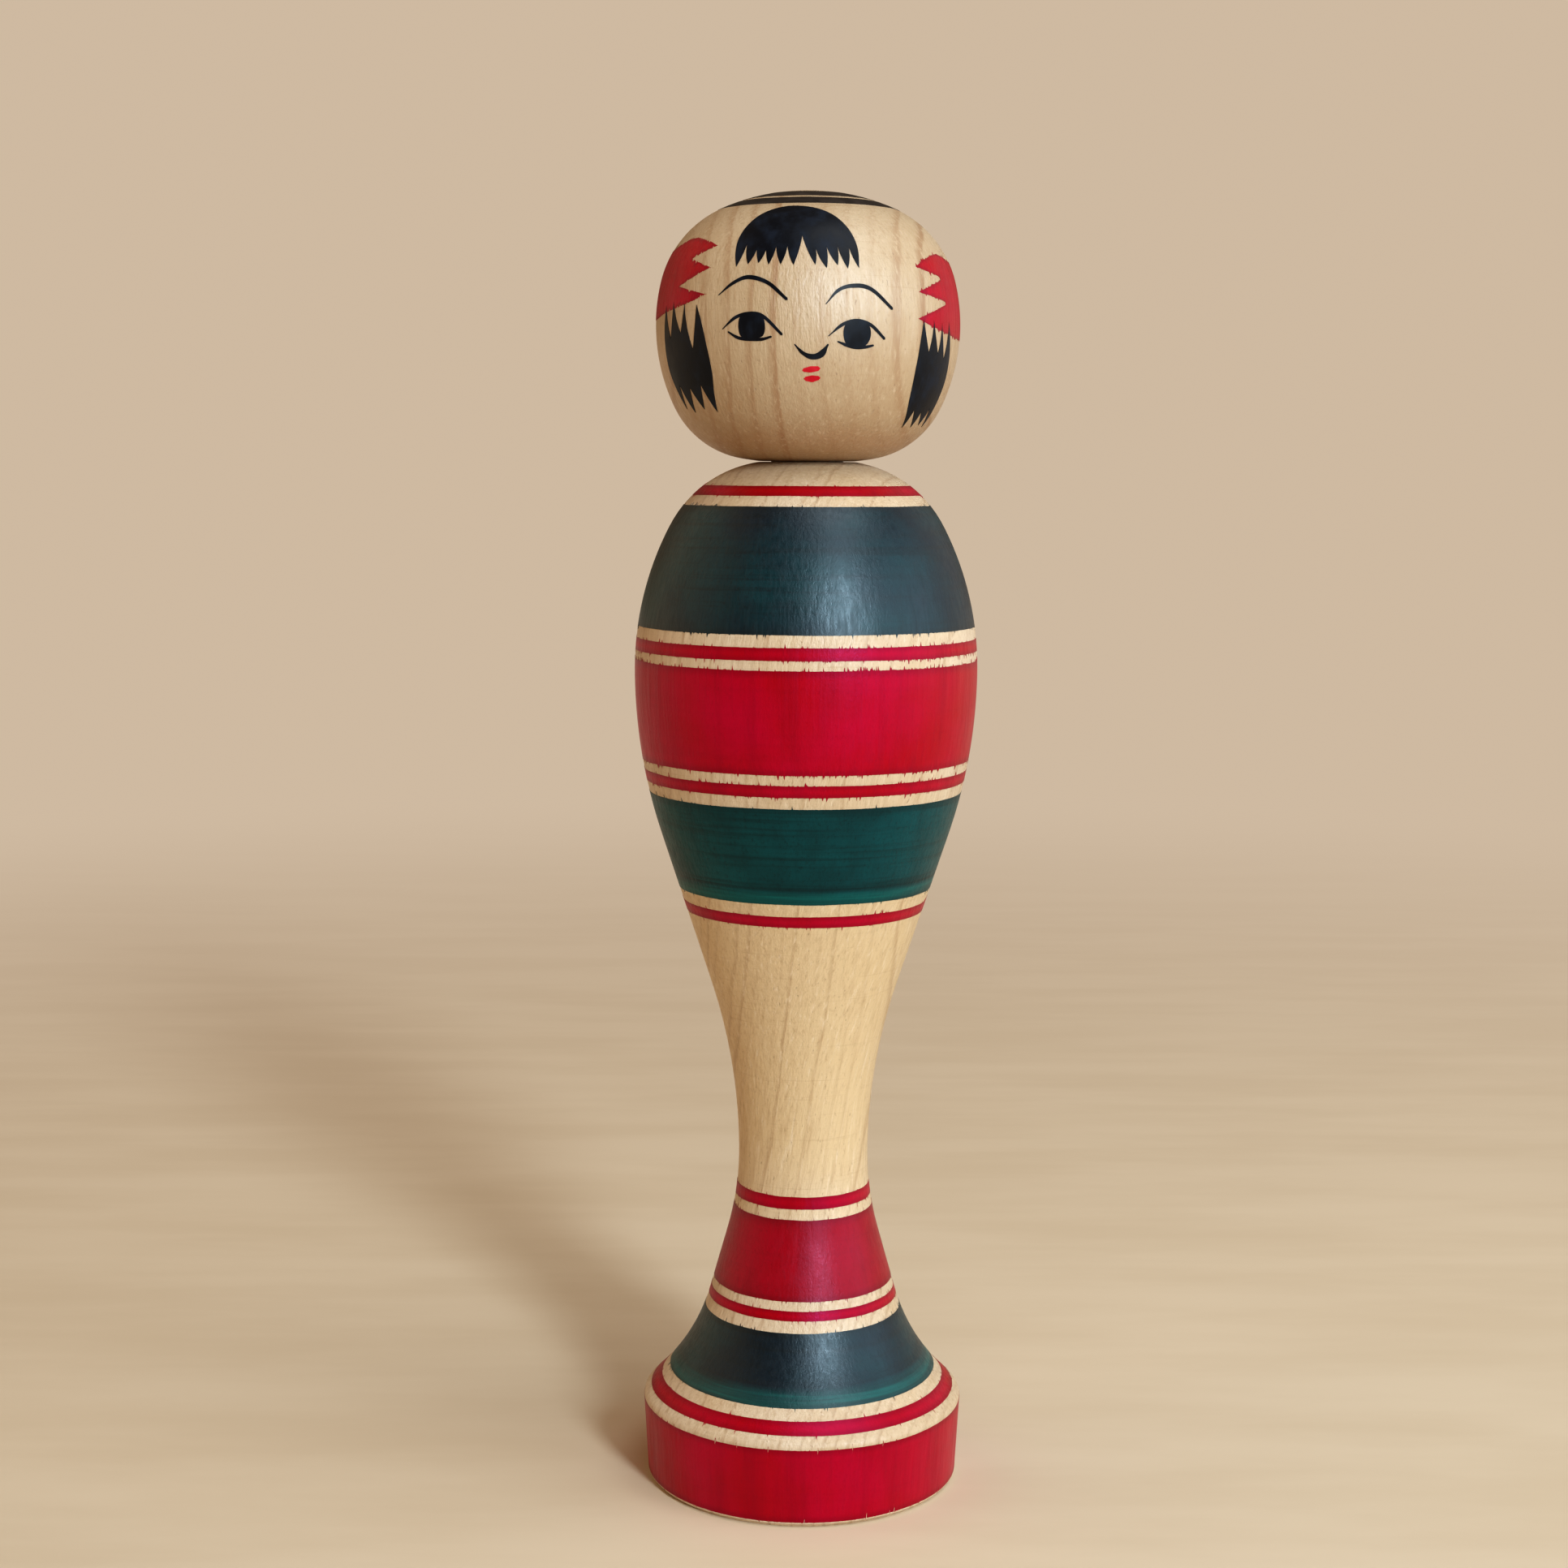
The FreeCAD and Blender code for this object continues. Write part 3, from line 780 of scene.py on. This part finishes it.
BLACK = ink("black_ink_brush", srgb(6, 10, 18), srgb(20, 28, 40))
RING_BLACK = ink("black_ink_ring", srgb(30, 25, 24), srgb(56, 47, 42))
LIP_RED = ink("lip_red_brush", srgb(186, 14, 34), srgb(206, 40, 56))

body_piece = turned("body_wood", body, BODY_WOOD, "torso")
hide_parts("body")
head_piece = turned("head_wood", head, HEAD_WOOD, "head")
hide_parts("head")

# Bands from the foot up: name, dye, lowest and highest height in mm, how many hairs bled from
# the lower and the upper edge, and how weak the dye gets along the lower edge.
BANDS = (
    ("foot_band", "red", 0.8, 11.3, (40, 60), 0.0),
    ("foot_line", "red", 12.95, 14.45, (60, 60), 0.0),
    ("flare_band", "navy", 15.8, 24.7, (40, 60), 1.0),
    ("flare_line_low", "red", 26.3, 27.6, (60, 60), 0.0),
    ("flare_red", "crimson", 28.85, 39.7, (60, 60), 0.0),
    ("flare_line_high", "red", 41.2, 42.9, (90, 60), 0.0),
    ("waist_line", "red", 82.55, 84.1, (120, 90), 0.0),
    ("hip_green", "green", 85.85, 99.4, (70, 60), 1.0),
    ("hip_line", "red", 101.0, 102.6, (180, 150), 0.0),
    ("chest_red", "red", 104.0, 117.9, (240, 380), 0.0),
    ("chest_line", "red", 119.2, 120.9, (260, 140), 0.0),
    ("chest_green", "navy", 122.55, 139.15, (140, 90), 0.0),
    ("shoulder_line", "red", 140.55, 141.85, (80, 60), 0.0),
)
DYES = {
    "red": (RED, "red_dye"),
    "crimson": (RED_TWICE, "red_dye"),
    "green": (GREEN, "green_dye"),
    "navy": (NAVY_GREEN, "green_dye"),
}
rng = random.Random(7)
for name, colour, low, high, hairs, thin in BANDS:
    material, slot = DYES[colour]
    band(
        name, body, body.length_at(height=low), body.length_at(height=high),
        material, "torso", rng, hairs=hairs, thin=thin,
    )

# Rings round the crown, by radius in mm.
for name, outer, inner in (("crown_ring_outer", 12.5, 10.1), ("crown_ring_inner", 9.2, 5.6)):
    band(
        name, head, head.length_at(radius=outer), head.length_at(radius=inner),
        RING_BLACK, "head", rng,
    )


def bangs():
    """The cut fringe: a round top, and brush points that fan out from the parting."""
    top = curve((
        (-28.6, 25.1), (-30.1, 27.0), (-30.5, 28.9), (-28.6, 30.8), (-24.0, 32.3), (-15.0, 33.2),
        (-4.0, 33.3), (6.0, 32.8), (13.0, 31.7), (17.4, 29.9), (19.2, 27.6), (18.8, 24.9),
    ))
    tips = [(18.8, 24.9), (14.4, 24.8), (10.6, 25.2), (6.4, 24.8), (2.2, 25.2),
            (-6.0, 25.2), (-10.9, 25.3), (-15.5, 25.3), (-19.5, 25.5), (-23.8, 25.4), (-28.6, 25.1)]
    dips = [(15.6, 27.7), (10.9, 28.0), (6.6, 27.7), (2.4, 27.4), (-3.0, 29.1),
            (-8.7, 27.7), (-13.2, 27.7), (-17.1, 27.3), (-21.0, 27.3), (-25.8, 28.2)]
    bow = [0.05] * 4 + [0.03] + [0.05] * 5
    return top[:-1] + spikes(tips, dips, bow)[:-1]


def side_hair(top_tips, top_dips, front, low_tips, low_dips, rear):
    """A lock beside the face, with brush points at both ends."""
    edge = spikes(top_tips, top_dips, [-0.03] * len(top_dips))
    edge += curve(front)[1:-1]
    edge += spikes(low_tips, low_dips, [0.02] * len(low_dips))
    edge += curve(rear)[1:-1]
    return edge


left_hair = side_hair(
    top_tips=[(-66.3, 20.6), (-60.0, 21.0), (-52.3, 20.6), (-45.4, 20.4)],
    top_dips=[(-62.2, 16.2), (-54.7, 16.8), (-47.9, 14.6)],
    front=[(-45.4, 20.4), (-42.6, 18.0), (-40.4, 14.5), (-39.7, 11.5), (-41.0, 8.8), (-42.3, 6.4)],
    low_tips=[(-42.3, 6.4), (-49.7, 6.8), (-57.6, 6.4), (-63.8, 6.9)],
    low_dips=[(-47.3, 10.1), (-54.8, 9.7), (-62.3, 10.2)],
    rear=[(-63.8, 6.9), (-66.0, 9.1), (-67.8, 11.1), (-68.5, 13.4), (-68.0, 16.4), (-67.1, 19.0),
          (-66.3, 20.6)],
)
right_hair = side_hair(
    top_tips=[(46.6, 18.6), (52.6, 18.6), (58.3, 18.4), (64.0, 18.6)],
    top_dips=[(50.7, 14.4), (56.9, 14.3), (62.2, 13.6)],
    front=[(64.0, 18.6), (65.8, 16.6), (67.6, 14.2), (68.8, 12.0), (69.4, 10.1), (68.8, 7.8),
           (67.6, 4.7)],
    low_tips=[(67.6, 4.7), (62.0, 4.9), (56.1, 4.6), (49.4, 4.5)],
    low_dips=[(63.8, 7.2), (57.5, 6.7), (51.4, 6.9)],
    rear=[(49.4, 4.5), (47.9, 5.8), (45.8, 8.0), (44.8, 11.1), (44.9, 13.6), (45.5, 16.3),
          (46.6, 18.6)],
)

patch("bangs", head, [bangs()], BLACK, "head")
patch("left_hair", head, [left_hair], BLACK, "head")
patch("right_hair", head, [right_hair], BLACK, "head")


def ornament(front_tips, front_dips, top, under, middle):
    """A red hair ornament: three points to the front, and the same three behind, as guessed."""
    front = spikes(front_tips, front_dips, [0.0] * len(front_dips))
    mirror = 2 * middle

    def behind(place):
        return (mirror - place[0], place[1])

    rear_tips = [behind(place) for place in reversed(front_tips)]
    rear_dips = [behind(place) for place in reversed(front_dips)]
    rear = spikes(rear_tips, rear_dips, [0.0] * len(rear_dips))
    below = curve([front_tips[-1], *under, rear_tips[0]])
    above = curve([rear_tips[-1], *top, front_tips[0]])
    return front[:-1] + below[:-1] + rear[:-1] + above[:-1]


ornament_rng = random.Random(11)
left_ornament = ornament(
    front_tips=[(-40.2, 28.1), (-40.4, 25.2), (-40.7, 21.7)],
    front_dips=[(-52.8, 26.6), (-57.3, 23.0)],
    top=[(-118.0, 28.0), (-104.0, 29.4), (-82.0, 28.3), (-60.0, 29.5), (-47.0, 28.9)],
    under=[(-51.0, 20.6), (-66.0, 19.7), (-82.0, 19.0), (-100.0, 19.7), (-114.0, 20.6)],
    middle=-82.0,
)
right_ornament = ornament(
    front_tips=[(45.2, 25.5), (44.7, 22.2), (43.7, 18.7)],
    front_dips=[(62.7, 24.3), (64.2, 21.1)],
    top=[(116.0, 26.4), (103.0, 27.4), (82.0, 26.8), (64.0, 27.5), (52.0, 26.6)],
    under=[(52.0, 17.8), (66.0, 16.9), (82.0, 16.5), (98.0, 16.9), (112.0, 17.8)],
    middle=82.0,
)
for name, outline in (("left_ornament", left_ornament), ("right_ornament", right_ornament)):
    patch(
        name, head, [bled(outline, ornament_rng, grit=0.05, hairs=0.15, reach=0.3)],
        RED, "head", lift=DYE_LIFT,
    )

# ---- the face: strokes with their width, in mm, along the way
brow_widths = (0.12, 0.44, 0.55, 0.48, 0.40)
left_brow = stroke(
    ((-34.9, 21.5), (-29.0, 23.0), (-22.9, 23.7), (-15.2, 22.9), (-8.2, 20.8)), brow_widths,
)
right_brow = stroke(
    ((5.9, 20.2), (10.6, 22.0), (16.4, 22.6), (23.0, 22.2), (31.2, 19.8)), brow_widths,
)
patch("left_brow", head, [left_brow], BLACK, "head")
patch("right_brow", head, [right_brow], BLACK, "head")

lid_widths = (0.12, 0.42, 0.50, 0.42, 0.35)
lower_lid_widths = (0.22, 0.40, 0.48, 0.42, 0.28)
left_eye = [
    stroke(((-32.8, 17.1), (-27.0, 18.6), (-20.9, 19.0), (-16.2, 18.5), (-9.9, 16.3)), lid_widths),
    curve(((-26.2, 17.6), (-25.0, 18.8), (-21.0, 19.0), (-17.1, 18.7), (-16.0, 17.4),
           (-16.9, 16.1), (-21.0, 15.8), (-25.2, 16.1)), closed=True),
    stroke(((-30.4, 16.7), (-26.2, 15.9), (-20.8, 15.7), (-17.0, 15.7), (-13.8, 16.0)),
           lower_lid_widths),
]
right_eye = [
    stroke(((6.9, 16.1), (12.0, 17.6), (17.1, 18.1), (22.6, 17.6), (28.2, 15.9)), lid_widths),
    curve(((12.3, 16.6), (13.6, 17.9), (17.4, 18.2), (21.4, 17.8), (22.7, 16.4),
           (21.2, 15.1), (17.4, 14.75), (13.5, 15.1)), closed=True),
    stroke(((10.4, 15.4), (14.2, 14.9), (17.8, 14.7), (21.2, 14.8), (23.8, 15.0)),
           lower_lid_widths),
]
patch("left_eye", head, left_eye, BLACK, "head")
patch("right_eye", head, right_eye, BLACK, "head")

nose = stroke(((-5.2, 15.0), (-2.2, 13.9), (1.2, 13.45), (4.4, 13.8), (6.8, 15.0)),
              (0.15, 0.45, 0.70, 0.85, 0.25))
patch("nose", head, [nose], BLACK, "head")

lips = [
    stroke(((-1.9, 11.75), (0.8, 11.85), (3.4, 11.95)), (0.50, 0.78, 0.62)),
    stroke(((-1.2, 10.65), (1.2, 10.65), (3.6, 10.75)), (0.55, 0.85, 0.55)),
]
patch("lips", head, lips, LIP_RED, "head")


# ============================================================ floor, light and camera

# Floor, in metres: its half width, and where it starts and ends fading into the backdrop.
FLOOR_HALF = 30.0
FADE_START, FADE_END = 0.10, 0.75


def add_floor():
    """A plain pale floor that fades into the backdrop, so that no horizon shows."""
    look = Look("pale_floor")
    mottle = look.cloud(look.stretched(0.012, 0.05, 0.01), detail=5)
    colour = look.blend(look.span(mottle, 0.3, 0.7), srgb(220, 201, 174), srgb(214, 194, 166))
    away = look.tree.nodes.new("ShaderNodeVectorMath")
    away.operation = "LENGTH"
    look.feed(away.inputs[0], look.place)
    far = look.span(away.outputs["Value"], FADE_START, FADE_END)
    look.finish(look.blend(far, colour, (0, 0, 0, 1)), 0.6, look.bump(mottle, 0.02))
    look.shader.inputs["Specular IOR Level"].default_value = 0.0
    look.shader.inputs["Emission Color"].default_value = BACKDROP
    look.feed(look.shader.inputs["Emission Strength"], far)
    half = FLOOR_HALF
    mesh = bpy.data.meshes.new("floor")
    corners = [(-half, -half, 0), (half, -half, 0), (half, half, 0), (-half, half, 0)]
    mesh.from_pydata(corners, [], [(0, 1, 2, 3)])
    mesh.materials.append(look.material)
    floor = bpy.data.objects.new("floor", mesh)
    bpy.context.scene.collection.objects.link(floor)


# The height that the lights are aimed at, mm.
AIM_HEIGHT = 95


def add_light(name, azimuth, elevation, distance, width, height, power, colour):
    """A soft light, aimed at the middle of the doll: degrees, metres and watts."""
    light = bpy.data.lights.new(name, "AREA")
    light.shape = "RECTANGLE"
    light.size = width
    light.size_y = height
    light.energy = power
    light.color = colour
    lamp = bpy.data.objects.new(name, light)
    turn, rise = math.radians(azimuth), math.radians(elevation)
    way = Vector((
        math.sin(turn) * math.cos(rise), -math.cos(turn) * math.cos(rise), math.sin(rise)
    ))
    lamp.location = Vector((0, 0, AIM_HEIGHT * MM)) + way * distance
    lamp.rotation_euler = way.to_track_quat("Z", "Y").to_euler()
    bpy.context.scene.collection.objects.link(lamp)


# The camera, found from the rings' ellipses in the photograph: mm and degrees.
CAMERA_PLACE = (-3.0, -352.5, 144.6)
CAMERA_DIP = 7.2
CAMERA_ROLL = 0.27
CAMERA_LENS = 57.9


def add_camera():
    """The photograph's viewpoint: near the doll, a little above it and looking slightly down."""
    camera_data = bpy.data.cameras.new("camera")
    camera_data.lens = CAMERA_LENS
    camera_data.sensor_width = 36.0
    camera = bpy.data.objects.new("camera", camera_data)
    place = Matrix.Translation(Vector(CAMERA_PLACE) * MM)
    look_down = Matrix.Rotation(math.radians(90 - CAMERA_DIP), 4, "X")
    roll = Matrix.Rotation(math.radians(CAMERA_ROLL), 4, "Z")
    camera.matrix_world = place @ look_down @ roll
    bpy.context.scene.collection.objects.link(camera)
    bpy.context.scene.camera = camera


ROOM_LIGHT = 0.2


def add_world():
    """A pale room: bright to look at behind the doll, and dim as a light, so shade stays deep."""
    world = bpy.data.worlds.new("pale_room")
    world.use_nodes = True
    nodes, links = world.node_tree.nodes, world.node_tree.links
    room = nodes["Background"]
    room.inputs["Color"].default_value = srgb(236, 204, 166)
    room.inputs["Strength"].default_value = ROOM_LIGHT
    backdrop = nodes.new("ShaderNodeBackground")
    backdrop.inputs["Color"].default_value = BACKDROP
    seen = nodes.new("ShaderNodeLightPath")
    mix = nodes.new("ShaderNodeMixShader")
    links.new(seen.outputs["Is Camera Ray"], mix.inputs["Fac"])
    links.new(room.outputs["Background"], mix.inputs[1])
    links.new(backdrop.outputs["Background"], mix.inputs[2])
    links.new(mix.outputs["Shader"], nodes["World Output"].inputs["Surface"])
    bpy.context.scene.world = world


add_floor()
add_light("window", 25, 22, 0.9, 0.12, 0.34, 6.4, (0.74, 0.88, 1.0))
add_light("ceiling", 45, 66, 1.2, 0.7, 0.7, 5.4, (0.90, 0.95, 1.0))
add_light("side_wall", 76, 6, 1.1, 1.0, 1.1, 6.4, (0.72, 0.87, 1.0))
add_light("wall_left", -100, 25, 1.3, 1.8, 1.8, 4.7, (1.0, 0.72, 0.46))
add_light("wall_right", 125, 20, 1.0, 0.8, 1.2, 1.4, (1.0, 0.95, 0.90))
add_world()
add_camera()
bpy.context.scene.view_settings.view_transform = "Standard"
bpy.context.scene.view_settings.look = "Medium High Contrast"
